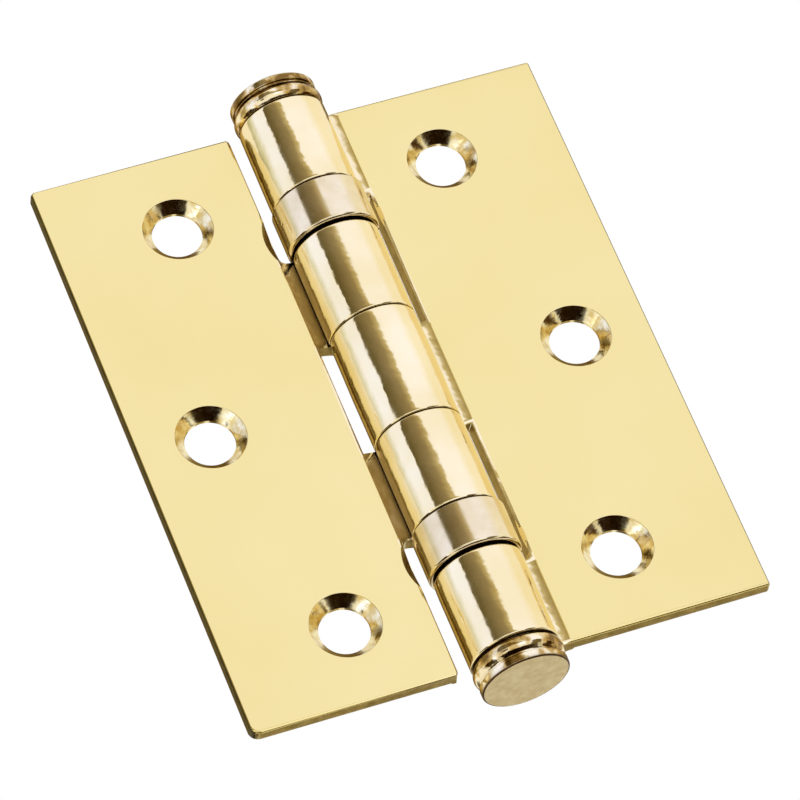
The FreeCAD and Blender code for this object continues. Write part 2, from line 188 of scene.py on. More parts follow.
@dataclass(frozen=True)
class Metal:
    """A metal's finish: its tones, how blurred its reflections are, its fine relief, and the painted
    shade in its crevices.
    """

    name: str
    tones: tuple[tuple[float, str], ...]
    tone_mm: float
    roughness: tuple[float, float]
    smudge_mm: float = 1.0
    reliefs: tuple[Relief, ...] = ()
    # Painted shade: the dark colour that the tones are multiplied towards in crevices, joints and
    # recesses, and how far the occlusion looks.
    painted_crevice_shade: str = "#5a3c14"
    painted_crevice_shade_mm: float = 1.1

    def build(self) -> bpy.types.Material:
        """Make the finish.

        Returns:
            The material, whose patterns read Object coordinates.
        """
        material = bpy.data.materials.new(self.name)
        tree = fresh_tree(material)
        place = add_node(tree, "TexCoord", {}).outputs["Object"]
        patch = add_node(
            tree, "TexNoise", {"Vector": place, "Scale": 1 / (self.tone_mm * MM), "Detail": 3.0}
        )
        tone = add_node(tree, "ValToRGB", {"Fac": patch.outputs["Fac"]})
        set_stops(tone, self.tones)
        # Painted shade: ambient occlusion darkens the tones in crevices, between parts and in
        # recesses, where shade falls.
        open_sky = add_node(tree, "AmbientOcclusion", {"Distance": self.painted_crevice_shade_mm * MM}, samples=6)
        inputs = {"Value": open_sky.outputs["AO"], **CREVICE_SPAN}
        deep = add_node(tree, "MapRange", inputs).outputs["Result"]
        inputs = {0: deep, 6: tone.outputs["Color"], 7: srgb(self.painted_crevice_shade)}
        colour = add_node(tree, "Mix", inputs, data_type="RGBA", blend_type="MULTIPLY").outputs[2]
        smudge = add_node(
            tree, "TexNoise", {"Vector": place, "Scale": 1 / (self.smudge_mm * MM), "Detail": 2.0}
        )
        low, high = self.roughness
        inputs = {"Value": smudge.outputs["Fac"], **NOISE_SPAN, "To Min": low, "To Max": high}
        gloss = add_node(tree, "MapRange", inputs).outputs["Result"]
        inputs = {"Base Color": colour, "Metallic": 1.0, "Roughness": gloss}
        shader = add_node(tree, "BsdfPrincipled", inputs)
        bump = None
        for relief in self.reliefs:
            bump = self.add_relief(tree, place, relief, bump)
        if bump:
            tree.links.new(bump.outputs["Normal"], shader.inputs["Normal"])
        add_node(tree, "OutputMaterial", {"Surface": shader.outputs["BSDF"]})
        return material

    @staticmethod
    def add_relief(
        tree: bpy.types.NodeTree,
        place: bpy.types.NodeSocket,
        relief: Relief,
        under: bpy.types.Node | None,
    ) -> bpy.types.Node:
        """Lay one layer of relief over the one before it.

        Args:
            tree: the material's node tree.
            place: the coordinates that the pattern reads.
            relief: the layer.
            under: the bump node of the layer below, if there is one.

        Returns:
            The layer's bump node.
        """
        spread = add_node(tree, "Mapping", {"Vector": place, "Scale": relief.stretch})
        source = {"Vector": spread.outputs["Vector"], "Scale": 1 / (relief.size_mm * MM)}
        if relief.pattern is Pattern.PITS:
            cells = add_node(tree, "TexVoronoi", source)
            inputs = {"Value": cells.outputs["Distance"], **PIT_SPAN}
            height = add_node(tree, "MapRange", inputs, **SOFT_ENDS).outputs["Result"]
        else:
            height = add_node(tree, "TexNoise", source).outputs["Fac"]
        inputs = {"Height": height, "Distance": relief.height_mm * MM, "Strength": 1.0}
        if under:
            inputs["Normal"] = under.outputs["Normal"]
        return add_node(tree, "Bump", inputs)


# Cold-rolled sheet, buffed and lacquered: a near mirror with a slow drift in tone.
SHEET_BRASS = Metal(
    "buffed_sheet_brass",
    tones=((0.3, "#eed687"), (0.7, "#f1db90")),
    tone_mm=24.0,
    roughness=(0.09, 0.13),
    smudge_mm=9.0,
    reliefs=(Relief(Pattern.WAVES, 6.0, 0.004),),
)
# The same sheet after curling: its skin is stretched, so reflections wander at their edges. Its tones
# are paler than the sheet's: a painted highlight that makes the knuckles brighter than the leaves.
KNUCKLE_BRASS_PAINTED_BRIGHTER = Metal(
    "knuckle_brass_painted_brighter",
    tones=((0.35, "#f5dfa4"), (0.65, "#fceabb")),
    tone_mm=9.0,
    roughness=(0.08, 0.15),
    smudge_mm=3.0,
    reliefs=(Relief(Pattern.WAVES, 2.2, 0.06), Relief(Pattern.WAVES, 0.45, 0.004)),
)
# Blanked edges: fine tearing lines across the sheet, duller than its faces.
BLANKED_BRASS = Metal(
    "blanked_edge_brass",
    tones=((0.35, "#9c8747"), (0.65, "#b8a15e")),
    tone_mm=1.5,
    roughness=(0.24, 0.36),
    reliefs=(Relief(Pattern.WAVES, 0.25, 0.012, (1.0, 0.15, 1.0)),),
)
# The plate's side edges, sheared and left raw: the blanked finish made dark olive, as painted shade
# on the edges that face sideways.
SIDE_EDGE_BRASS_PAINTED_SHADE = replace(
    BLANKED_BRASS, name="side_edge_brass_painted_shade", tones=((0.35, "#40340e"), (0.65, "#564a18"))
)
# Countersinks left as the cutter made them: chatter marks that break up every reflection.
CUT_BRASS = Metal(
    "machined_countersink_brass",
    tones=((0.38, "#d8bc74"), (0.62, "#f6e8b8")),
    tone_mm=1.2,
    roughness=(0.08, 0.18),
    reliefs=(
        Relief(Pattern.WAVES, 1.3, 0.022),
        Relief(Pattern.WAVES, 0.4, 0.008, (0.12, 1.0, 0.12)),
    ),
)
# Turned, then tumbled and plated: small dents and dark specks under a satin shine.
TIP_BRASS = Metal(
    "tumbled_tip_brass",
    tones=((0.38, "#80602c"), (0.48, "#c8a45c"), (0.58, "#fae8bc")),
    tone_mm=2.2,
    roughness=(0.08, 0.16),
    smudge_mm=1.2,
    reliefs=(Relief(Pattern.WAVES, 1.8, 0.11), Relief(Pattern.WAVES, 0.5, 0.006)),
)
# The tip's faced-off end: satin, with a fine grain that spreads the light evenly.
TIP_FACE_BRASS = Metal(
    "faced_tip_end_brass",
    tones=((0.35, "#dac798"), (0.65, "#e9dab2")),
    tone_mm=1.0,
    roughness=(0.42, 0.52),
    smudge_mm=0.8,
    reliefs=(Relief(Pattern.WAVES, 0.35, 0.006),),
)
# A drawn shell, barrel plated paler and pinker than the sheet, with pin-point pits.
SHELL_BRASS = Metal(
    "drawn_shell_brass",
    tones=((0.35, "#e4ce9e"), (0.65, "#f1deb2")),
    tone_mm=3.0,
    roughness=(0.1, 0.18),
    smudge_mm=2.0,
    reliefs=(Relief(Pattern.WAVES, 2.2, 0.008), Relief(Pattern.PITS, 1.5, 0.012)),
)
# Centreless-ground dowel: bright grey with fine marks round it.
PIN_STEEL = Metal(
    "ground_pin_steel",
    tones=((0.4, "#b3b3b5"), (0.6, "#c3c3c4")),
    tone_mm=5.0,
    roughness=(0.18, 0.26),
    smudge_mm=2.0,
    reliefs=(Relief(Pattern.WAVES, 0.3, 0.0005, (0.05, 0.05, 1.0)),),
)
# Races under old grease, nearly black brown: partly the grease, partly painted shade that makes the
# dark line above each shell.
GREASE_AND_GAP_SHADE_STEEL = Metal(
    "race_steel_grease_and_painted_shade",
    tones=((0.4, "#3a2a18"), (0.6, "#4a3822")),
    tone_mm=1.0,
    roughness=(0.25, 0.4),
)
# Hardened and lapped balls: near-white mirror with a thin film of grease.
BALL_STEEL = Metal(
    "lapped_ball_steel",
    tones=((0.4, "#bdbec2"), (0.6, "#cfd0d3")),
    tone_mm=3.0,
    roughness=(0.05, 0.12),
)
# Pressed cage: thin brass, matt from the press.
CAGE_BRASS = Metal(
    "pressed_cage_brass",
    tones=((0.4, "#c9a75c"), (0.6, "#d9bb74")),
    tone_mm=2.0,
    roughness=(0.25, 0.35),
    reliefs=(Relief(Pattern.WAVES, 0.5, 0.002),),
)


# ------------------------ modelling tools


def swing(
    mesh: bmesh.types.BMesh,
    geom: list,
    angle: float,
    steps: int,
    centre: tuple[float, float, float] = (0, 0, 0),
    axis: tuple[float, float, float] = (0, 0, 1),
    merge: bool = False,
) -> list:
    """Spin geometry of a mesh about an axis, by radians, and give what it ends as."""
    spun = bmesh.ops.spin(
        mesh,
        geom=geom,
        cent=centre,
        axis=axis,
        dvec=(0, 0, 0),
        angle=angle,
        steps=steps,
        use_merge=merge,
    )
    return spun["geom_last"]


class Outline:
    """A chain of edges in the XY plane, drawn in millimetres with lines and spun arcs."""

    def __init__(self, mesh: bmesh.types.BMesh, x: float, y: float) -> None:
        """Start the chain at a point."""
        self.mesh = mesh
        self.first = mesh.verts.new((x, y, 0))
        self.last = self.first

    def line(self, x: float, y: float) -> None:
        """Draw a straight edge to a point."""
        corner = self.mesh.verts.new((x, y, 0))
        self.mesh.edges.new((self.last, corner))
        self.last = corner

    def arc(self, x: float, y: float, degrees: float, step: float) -> None:
        """Swing the chain's end about a centre.

        Args:
            x: the centre's x.
            y: the centre's y.
            degrees: the turn, anticlockwise if positive.
            step: the longest turn of one edge, in degrees.
        """
        steps = max(1, math.ceil(abs(degrees) / step))
        ended = swing(self.mesh, [self.last], math.radians(degrees), steps, (x, y, 0))
        self.last = next(v for v in ended if isinstance(v, bmesh.types.BMVert))

    def close(self) -> bmesh.types.BMFace:
        """Join the chain's ends and fill it."""
        self.mesh.edges.new((self.last, self.first))
        return bmesh.ops.contextual_create(self.mesh, geom=self.mesh.edges[:])["faces"][0]


def raise_prism(mesh: bmesh.types.BMesh, face: bmesh.types.BMFace, height: float) -> None:
    """Extrude a flat face into a closed prism, centred on the XY plane."""
    made = bmesh.ops.extrude_face_region(mesh, geom=[face])
    moved = [item for item in made["geom"] if isinstance(item, bmesh.types.BMVert)]
    bmesh.ops.translate(mesh, verts=moved, vec=(0, 0, height))
    bmesh.ops.translate(mesh, verts=mesh.verts[:], vec=(0, 0, -height / 2))
    bmesh.ops.recalc_face_normals(mesh, faces=mesh.faces[:])


def turn_profile(mesh: bmesh.types.BMesh, steps: int) -> None:
    """Spin a profile, drawn as radius and height, round the Z axis into a closed solid."""
    upright = Matrix.Rotation(math.pi / 2, 4, "X")
    bmesh.ops.transform(mesh, matrix=upright, verts=mesh.verts[:])
    swing(mesh, mesh.verts[:] + mesh.edges[:], 2 * math.pi, steps, merge=True)
    bmesh.ops.remove_doubles(mesh, verts=mesh.verts[:], dist=1e-4)
    bmesh.ops.recalc_face_normals(mesh, faces=mesh.faces[:])


def bevel_edges(
    mesh: bmesh.types.BMesh,
    edges: list[bmesh.types.BMEdge],
    radius: float,
    segments: int,
    clamp: bool = False,
) -> None:
    """Round some edges of a mesh, and clamp the radius at short edges where asked."""
    bmesh.ops.bevel(
        mesh,
        geom=edges,
        offset=radius,
        segments=segments,
        profile=0.5,
        affect="EDGES",
        material=-1,
        clamp_overlap=clamp,
    )


def slice_faces(
    mesh: bmesh.types.BMesh,
    point: tuple[float, float, float],
    normal: tuple[float, float, float],
    nearness: float,
    faces: list[bmesh.types.BMFace] | None = None,
) -> None:
    """Cut a mesh along a plane and keep both sides.

    Args:
        mesh: the mesh.
        point: a point of the plane.
        normal: the plane's normal.
        nearness: how near a vertex has to be to count as on the plane.
        faces: the faces to cut, or all of them.
    """
    if faces is None:
        geom = mesh.verts[:] + mesh.edges[:] + mesh.faces[:]
    else:
        edges = dict.fromkeys(edge for face in faces for edge in face.edges)
        verts = dict.fromkeys(vert for face in faces for vert in face.verts)
        geom = [*faces, *edges, *verts]
    bmesh.ops.bisect_plane(mesh, geom=geom, dist=nearness, plane_co=point, plane_no=normal)


def pour(part: bmesh.types.BMesh, mesh: bmesh.types.BMesh) -> None:
    """Add one mesh to another and free it."""
    carrier = bpy.data.meshes.new("carrier")
    part.to_mesh(carrier)
    part.free()
    mesh.from_mesh(carrier)
    bpy.data.meshes.remove(carrier)


def to_object(mesh: bmesh.types.BMesh, name: str, unit: float = MM) -> bpy.types.Object:
    """Turn a mesh, drawn in millimetres unless told, into an object in metres at the origin."""
    bmesh.ops.scale(mesh, vec=(unit, unit, unit), verts=mesh.verts[:])
    data = bpy.data.meshes.new(name)
    mesh.to_mesh(data)
    mesh.free()
    thing = bpy.data.objects.new(name, data)
    bpy.context.scene.collection.objects.link(thing)
    return thing


def apply_modifiers(thing: bpy.types.Object) -> None:
    """Bake an object's modifiers into its mesh."""
    graph = bpy.context.evaluated_depsgraph_get()
    spent = thing.data
    baked = bpy.data.meshes.new_from_object(thing.evaluated_get(graph))
    thing.modifiers.clear()
    thing.data = baked
    bpy.data.meshes.remove(spent)


def carve(thing: bpy.types.Object, cutter: bpy.types.Object) -> None:
    """Cut one object out of another and delete the cutter."""
    cut = thing.modifiers.new("carve", "BOOLEAN")
    cut.operation = "DIFFERENCE"
    cut.solver = "EXACT"
    cut.object = cutter
    apply_modifiers(thing)
    spent = cutter.data
    bpy.data.objects.remove(cutter)
    bpy.data.meshes.remove(spent)


def round_edges(
    thing: bpy.types.Object, radius_of: Callable[[bmesh.types.BMEdge], float]
) -> None:
    """Round an object's edges.

    Args:
        thing: the object, in metres.
        radius_of: gives an edge's rounding in millimetres, or 0 to leave it as it is.
    """
    mesh = bmesh.new()
    mesh.from_mesh(thing.data)
    bmesh.ops.remove_doubles(mesh, verts=mesh.verts[:], dist=0.0005 * MM)
    edges = {edge: radius_of(edge) for edge in mesh.edges}
    for radius in sorted({radius for radius in edges.values() if radius}, reverse=True):
        chosen = [edge for edge, own in edges.items() if own == radius and edge.is_valid]
        bevel_edges(mesh, chosen, radius * MM, 3, clamp=radius < CLAMPED_BELOW)
    mesh.to_mesh(thing.data)
    mesh.free()


def dress(
    thing: bpy.types.Object,
    finishes: list[Metal],
    choose: Callable[[bmesh.types.BMFace], int] = lambda face: 0,
    crease: float = 34.0,
) -> None:
    """Give an object its finishes, and smooth its shading between real creases.

    Args:
        thing: the object.
        finishes: its finishes.
        choose: gives the number of a face's finish.
        crease: the turn in degrees from which an edge stays sharp.
    """
    thing.data.materials.clear()
    for finish in finishes:
        material = bpy.data.materials.get(finish.name) or finish.build()
        thing.data.materials.append(material)
    mesh = bmesh.new()
    mesh.from_mesh(thing.data)
    for edge in mesh.edges:
        edge.smooth = edge.calc_face_angle(0.0) < math.radians(crease)
    for face in mesh.faces:
        face.smooth = True
        face.material_index = choose(face)
    mesh.to_mesh(thing.data)
    mesh.free()
    normals = thing.modifiers.new("flat_faces_stay_flat", "WEIGHTED_NORMAL")
    normals.keep_sharp = True
    normals.weight = 80
    apply_modifiers(thing)


def place_piece(thing: bpy.types.Object, node: str, body: str) -> None:
    """Put a finished piece in a CAD node's place and on its body."""
    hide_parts(node)
    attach(thing, body)


# ------------------------ leaves


@dataclass
class Leaf:
    """A leaf with its own knuckles, one sheet blanked and curled. Sizes in millimetres."""

    node: str
    body: str
    side: Side
    notches: list[tuple[float, float]]
    upper_corner: float = 0.3
    lower_corner: float = 0.3
    inner_corner: float = 0.0
    relief_radius: float = 6.2
    half_height: float = 38.0
    reach: float = 31.5
    face: float = 0.8
    back: float = 2.6
    barrel: float = 5.4
    bore: float = 3.6
    inner_edge: float = 6.7
    plate_start: float = 9.2
    blanking_draft: float = 0.2
    bearing_corner: float = 0.8
    joint_corner: float = 0.1
    swage_start: float = 7.05
    root_radius: float = 6.0
    seam_angle: float = 11.5
    seam_width: float = 0.15
    seam_mouth: float = 0.26
    hole: float = 3.0
    countersink: float = 4.2
    countersink_half_angle: float = 41.0
    holes: list[tuple[float, float]] = field(
        default_factory=lambda: [(16.6, 28.0), (22.6, 0.0), (16.6, -28.0)]
    )
    rim_rounding: float = 0.12
    relief_centre: float = 0.95
    relief_depth: float = 0.6
    relief_slope: float = 53.0
    relief_reach: float = 3.55
    relief_end: float = 9.0
    bearing_middle: float = 23.0
    bearing_height: float = 6.5
    sharp_angle: float = 50.0
    edge_rounding: float = 0.32
    notch_rounding: float = 0.05
    knuckle_rounding: float = 0.22
    under_bearing_rounding: float = 0.38
    over_bearing_rounding: float = 0.28
    slit_rounding: float = 0.06
    swage_rounding: float = 0.2
    crowns: tuple[tuple[float, float], ...] = ((0.0, 0.05), (0.5, 0.022), (1.1, 0.006), (2.0, 0.0))
    nudge: float = 0.1
    overcut: float = 1.0

    def build(self) -> bpy.types.Object:
        """Make the leaf.

        Returns:
            The finished leaf.
        """
        leaf = to_object(self.sheet(), f"{self.node}_polished")
        carve(leaf, to_object(self.notch_cutter(), "notches"))
        carve(leaf, to_object(self.hole_cutter(), "screw_holes"))
        carve(leaf, to_object(self.relief_cutter(), "bearing_reliefs"))
        self.crown_knuckles(leaf)
        round_edges(leaf, self.rounding)
        self.part_end_faces(leaf)
        dress(
            leaf,
            [SHEET_BRASS, KNUCKLE_BRASS_PAINTED_BRIGHTER, BLANKED_BRASS, CUT_BRASS, SIDE_EDGE_BRASS_PAINTED_SHADE],
            choose=self.finish_of,
        )
        place_piece(leaf, self.node, self.body)
        return leaf

    def sheet(self) -> bmesh.types.BMesh:
        """The full-height section: plate, swage, root bend, and curl with its open seam.

        Returns:
            The closed prism in millimetres.
        """
        mesh = bmesh.new()
        mouth = math.degrees(math.asin(self.seam_mouth / 2 / self.barrel))
        slit = math.degrees(math.asin(self.seam_width / 2 / self.bore))
        bend_y = self.back + self.root_radius
        bend_x = math.sqrt((self.barrel + self.root_radius) ** 2 - bend_y**2)
        root = math.degrees(math.atan2(bend_y, bend_x))
        outline = Outline(mesh, self.reach, self.face)
        outline.line(self.swage_start, self.face)
        outline.line(*self.polar(self.barrel, self.seam_angle + mouth))
        outline.line(*self.polar(self.bore, self.seam_angle + slit))
        outline.arc(0, 0, 360 - 2 * slit, 3.0)
        outline.line(*self.polar(self.barrel, self.seam_angle - mouth))
        outline.arc(0, 0, -(360 + self.seam_angle - mouth - root), 2.0)
        outline.arc(bend_x, bend_y, 90 - root, 2.0)
        outline.line(self.reach, self.back)
        raise_prism(mesh, outline.close(), 2 * self.half_height)
        self.round_corners(mesh)
        for height in sorted({z for _, z in self.holes}):
            slice_faces(mesh, (0, 0, height), (0, 0, 1), ON_PLANE)
        if self.side is Side.DOOR:
            bmesh.ops.scale(mesh, vec=(-1, 1, 1), verts=mesh.verts[:])
            bmesh.ops.reverse_faces(mesh, faces=mesh.faces[:])
        return mesh

    @staticmethod
    def part_end_faces(leaf: bpy.types.Object) -> None:
        """Cut the knuckles' end faces through the pin, so that none goes all round the bore."""
        mesh = bmesh.new()
        mesh.from_mesh(leaf.data)
        for normal in ((1, 0, 0), (0, 1, 0)):
            ends = [face for face in mesh.faces if abs(face.normal.z) > FLATLY]
            slice_faces(mesh, (0, 0, 0), normal, ON_PLANE, ends)
        mesh.to_mesh(leaf.data)
        mesh.free()

    @staticmethod
    def polar(radius: float, degrees: float) -> tuple[float, float]:
        """A point of the section by its radius and angle."""
        return radius * math.cos(math.radians(degrees)), radius * math.sin(math.radians(degrees))

    def round_corners(self, mesh: bmesh.types.BMesh) -> None:
        """Round the sheet's outer corners, as seen from the face."""
        for end, radius in ((1, self.upper_corner), (-1, self.lower_corner)):
            corner = [
                edge
                for edge in mesh.edges
                if all(
                    abs(v.co.x - self.reach) < 1e-4 and abs(v.co.z - end * self.half_height) < 1e-4
                    for v in edge.verts
                )
            ]
            bevel_edges(mesh, corner, radius, 8)

    def notch_cutter(self) -> bmesh.types.BMesh:
        """Blocks that clear the barrel and the inner edge for the other leaf's knuckles."""
        mesh = bmesh.new()
        far = -self.side.value * (self.barrel + self.overcut)
        near = self.side.value * self.inner_edge
        for low, high in self.notches:
            block = bmesh.ops.create_cube(mesh, size=1.0)["verts"]
            size = (abs(near - far), 4 * self.barrel, high - low)
            bmesh.ops.scale(mesh, vec=size, verts=block)
            bmesh.ops.translate(mesh, verts=block, vec=((near + far) / 2, 0, (low + high) / 2))
        low_bearing = self.bearing_middle - self.bearing_height
        for radius, first, last in (
            (self.bearing_corner, low_bearing, self.half_height),
            (self.joint_corner, 0.0, low_bearing),
        ):
            corners = [
                edge
                for edge in mesh.edges
                if all(abs(v.co.x - near) < 1e-4 and first < abs(v.co.z) < last for v in edge.verts)
                and abs(edge.verts[0].co.z - edge.verts[1].co.z) < 1e-4
            ]
            bevel_edges(mesh, corners, radius, 6)
        slope = self.blanking_draft / (self.back - self.face)
        lean = Matrix.Shear("XZ", 4, (-self.side.value * slope, 0))
        base = Matrix.Translation((0, self.face, 0))
        bmesh.ops.transform(mesh, matrix=base @ lean @ base.inverted(), verts=mesh.verts[:])
        return mesh

    def hole_cutter(self) -> bmesh.types.BMesh:
        """The drill and countersink of every screw hole, with a rounded rim."""
        mesh = bmesh.new()
        lean = math.radians(self.countersink_half_angle)
        rim = self.rim_rounding
        turn = 90 - self.countersink_half_angle
        reach = rim * math.tan(math.radians(turn / 2))
        deep = (self.countersink - self.hole) / math.tan(lean)
        for x, z in self.holes:
            one = bmesh.new()
            drill = Outline(one, 0, -self.overcut)
            drill.line(self.countersink + reach, -self.overcut)
            drill.line(self.countersink + reach, 0)
            drill.arc(self.countersink + reach, rim, -turn, 10.0)
            drill.line(self.hole, deep)
            drill.line(self.hole, self.back - self.face + self.overcut)
            drill.line(0, self.back - self.face + self.overcut)
            turn_profile(one, 96)
            lie = Matrix.Translation((self.side.value * x, self.face, z)) @ Matrix.Rotation(
                -math.pi / 2, 4, "X"
            )
            bmesh.ops.transform(one, matrix=lie, verts=one.verts[:])
            pour(one, mesh)
        return mesh

    def relief_cutter(self) -> bmesh.types.BMesh:
        """The part of a flat cone that clears the inner edge beside each bearing."""
        mesh = bmesh.new()
        spread = math.tan(math.radians(self.relief_slope))
        half = math.asin(self.bearing_height / 2 / self.relief_radius)
        for middle in (self.bearing_middle, -self.bearing_middle):
            one = bmesh.new()
            cone = Outline(one, 0, -self.overcut)
            cone.line(self.relief_radius + self.overcut * spread, -self.overcut)
            cone.line(self.relief_radius - self.relief_depth * spread, self.relief_depth)
            cone.line(0, self.relief_depth)
            section = cone.close()
            stand = Matrix.Rotation(-half * self.side.value, 4, "Y")
            flip = Matrix.Scale(self.side.value, 4, (1, 0, 0))
            bmesh.ops.transform(one, matrix=stand @ flip, verts=one.verts[:])
            wedge = [section] + section.edges[:] + section.verts[:]
            swing(one, wedge, 2 * half * self.side.value, 24, axis=(0, 1, 0))
            bmesh.ops.remove_doubles(one, verts=one.verts[:], dist=1e-4)
            bmesh.ops.recalc_face_normals(one, faces=one.faces[:])
            move = (self.side.value * self.relief_centre, self.face, middle)
            bmesh.ops.translate(one, verts=one.verts[:], vec=move)
            pour(one, mesh)
        return mesh

    def crown_knuckles(self, leaf: bpy.types.Object) -> None:
        """Draw the barrel in by a hair towards the ends of each knuckle, as curling leaves it."""
        mesh = bmesh.new()
        mesh.from_mesh(leaf.data)
        ends = {z for notch in self.notches for z in notch if abs(z) <= self.half_height}
        ends |= {self.half_height, -self.half_height} if self.side is Side.FRAME else set()
        for end in sorted(ends):
            inside = any(low < end - self.nudge < high for low, high in self.notches)
            into = 1 if inside or end == -self.half_height else -1
            for away, drop in self.crowns:
                height = (end + into * away) * MM
                if away:
                    slice_faces(mesh, (0, 0, height), (0, 0, 1), ON_CROWN_PLANE)
                ring = [
                    v
                    for v in mesh.verts
                    if abs(v.co.z - height) < CLOSE / 5 * MM
                    and abs(math.hypot(v.co.x, v.co.y) / MM - self.barrel) < CLOSE
                ]
                shrink = 1 - drop / self.barrel
                bmesh.ops.scale(mesh, vec=(shrink, shrink, 1), verts=ring)
        mesh.to_mesh(leaf.data)
        mesh.free()

    def local(self, point: Vector) -> tuple[float, float, float]:
        """A point in millimetres, with x counted from the pin towards the leaf's reach."""
        return point.x / MM * self.side.value, point.y / MM, point.z / MM

    def near_hole(self, point: Vector) -> bool:
        """Whether a point is inside a countersink's rim."""
        x, _, z = self.local(point)
        limit = self.countersink + self.rim_rounding
        return any(math.hypot(x - hx, z - hz) < limit for hx, hz in self.holes)

    def rounding(self, edge: bmesh.types.BMEdge) -> float:
        """The rounding of one of the sheet's edges."""
        if self.is_crease(edge):
            height = (edge.verts[0].co.z + edge.verts[1].co.z) / 2 / MM
            notched = any(low < height < high for low, high in self.notches)
            return 0.0 if notched else self.swage_rounding
        if edge.calc_face_angle_signed(0.0) < math.radians(self.sharp_angle):
            return 0.0
        middle = (edge.verts[0].co + edge.verts[1].co) / 2
        x, _, z = self.local(middle)
        if self.near_hole(middle):
            return 0.0
        along = edge.verts[0].co - edge.verts[1].co
        at_end = abs(abs(z) - self.half_height) < CLOSE
        through = abs(along.y) > RUNS_ALONG * along.length
        if self.inner_corner and at_end and through and x < self.swage_start:
            return self.inner_corner
        if max(math.hypot(v.co.x, v.co.y) for v in edge.verts) / MM > self.barrel + CLOSE:
            return self.edge_rounding if x > self.plate_start else self.notch_rounding
        if abs(along.z) > RUNS_ALONG * along.length:
            return self.slit_rounding
        for bearing in (self.bearing_middle, -self.bearing_middle):
            if abs(abs(z - bearing) - self.bearing_height / 2) < 2 * CLOSE:
                return self.under_bearing_rounding if z < bearing else self.over_bearing_rounding
        return self.knuckle_rounding

    def finish_of(self, face: bmesh.types.BMFace) -> Skin:
        """The finish of a face, by where it lies and which way it looks."""
        middle = face.calc_center_median()
        x, y, z = self.local(middle)
        if self.near_hole(middle) and self.face + CLOSE < y < self.back - CLOSE:
            return Skin.CUT
        # Painted shade: plate faces that look sideways take the dark olive copy of the blanked
        # finish.
        if x > self.plate_start and abs(face.normal.x) > ROUGHLY:
            return Skin.SHEARED
        if abs(face.normal.z) > NEARLY:
            return Skin.BLANKED
        beside_bearing = abs(abs(z) - self.bearing_middle) < self.relief_reach
        under_face = self.face + 3 * CLOSE < y < self.back
        if beside_bearing and under_face and self.inner_edge < x < self.relief_end:
            bare = self.side is Side.DOOR and abs(face.normal.y) < SQUARELY
            return Skin.BLANKED if bare else Skin.SHEET
        if x > self.inner_edge - 5 * CLOSE:
            return Skin.SHEET if abs(face.normal.y) > ROUGHLY else Skin.BLANKED
        # Painted highlight: the knuckles' faces take the paler curled tones.
        return Skin.CURLED

    def is_crease(self, edge: bmesh.types.BMEdge) -> bool:
        """Whether an edge is the line where the swage starts."""
        return all(
            abs(self.local(v.co)[0] - self.swage_start) < CLOSE
            and abs(self.local(v.co)[1] - self.face) < CLOSE
            for v in edge.verts
        )


# ------------------------ turned pieces


@dataclass
class Tip:
    """A turned end cap with a bead and a disc. Sizes in millimetres."""

    node: str
    end: End
    seat: float = 38.0
    spigot: float = 3.6
    spigot_length: float = 2.8
    spigot_chamfer: float = 0.3
    neck: float = 4.9
    neck_height: float = 0.2
    bead: float = 5.5
    bead_end: float = 5.0
    bead_height: float = 1.95
    groove_height: float = 0.4
    groove_spread: float = 0.6
    disc: float = 5.3
    disc_height: float = 0.95
    disc_rounding: float = 0.22
    face_from: float = 3.0
    sharp_angle: float = 24.0
    rounding: float = 0.09

    def build(self) -> bpy.types.Object:
        """Make the tip.

        Returns:
            The finished tip.
        """
        mesh = bmesh.new()
        bulge = self.bead - self.bead_end
        curve = (bulge**2 + (self.bead_height / 2) ** 2) / (2 * bulge)
        half = math.degrees(math.asin(self.bead_height / 2 / curve))
        bead_top = self.neck_height + self.bead_height
        top = bead_top + self.groove_height + self.disc_height
        outline = Outline(mesh, 0, -self.spigot_length)
        outline.line(self.spigot - self.spigot_chamfer, -self.spigot_length)
        outline.line(self.spigot, self.spigot_chamfer - self.spigot_length)
        outline.line(self.spigot, 0)
        outline.line(self.neck, 0)
        outline.line(self.neck, self.neck_height)
        outline.line(self.bead_end, self.neck_height)
        outline.arc(self.bead - curve, self.neck_height + self.bead_height / 2, 2 * half, half / 6)
        sweep = 2 * math.degrees(math.atan2(self.groove_height, self.groove_spread))
        reach = self.groove_height / 2 / math.tan(math.radians(sweep / 2))
        outline.arc(self.bead_end + reach, bead_top + self.groove_height / 2, -sweep, 8.0)
        outline.line(self.disc, bead_top + self.groove_height)
        outline.line(self.disc, top - self.disc_rounding)
        outline.arc(self.disc - self.disc_rounding, top - self.disc_rounding, 90, 15.0)
        outline.line(0, top)
        turn_profile(mesh, 120)
        if self.end is End.BOTTOM:
            bmesh.ops.rotate(
                mesh, cent=(0, 0, 0), matrix=Matrix.Rotation(math.pi, 3, "X"), verts=mesh.verts[:]
            )
        shift = (0, 0, self.end.value * self.seat)
        bmesh.ops.translate(mesh, verts=mesh.verts[:], vec=shift)
        tip = to_object(mesh, f"{self.node}_turned")
        round_edges(tip, self.rounding_of)
        dress(tip, [TIP_BRASS, TIP_FACE_BRASS], choose=self.finish_of)
        place_piece(tip, self.node, "frame_side")
        return tip

    def finish_of(self, face: bmesh.types.BMFace) -> int:
        """The number of a face's finish: the flat outer end and its rim have their own."""
        faced = face.normal.z * self.end.value > 0.2
        return int(faced and abs(face.verts[0].co.z) / MM > self.seat + self.face_from)

    def rounding_of(self, edge: bmesh.types.BMEdge) -> float:
        """Round the tip's turned corners that show."""
        low = min(abs(v.co.z) for v in edge.verts) / MM
        turned = edge.calc_face_angle_signed(0.0) > math.radians(self.sharp_angle)
        return self.rounding if turned and low > self.seat else 0.0


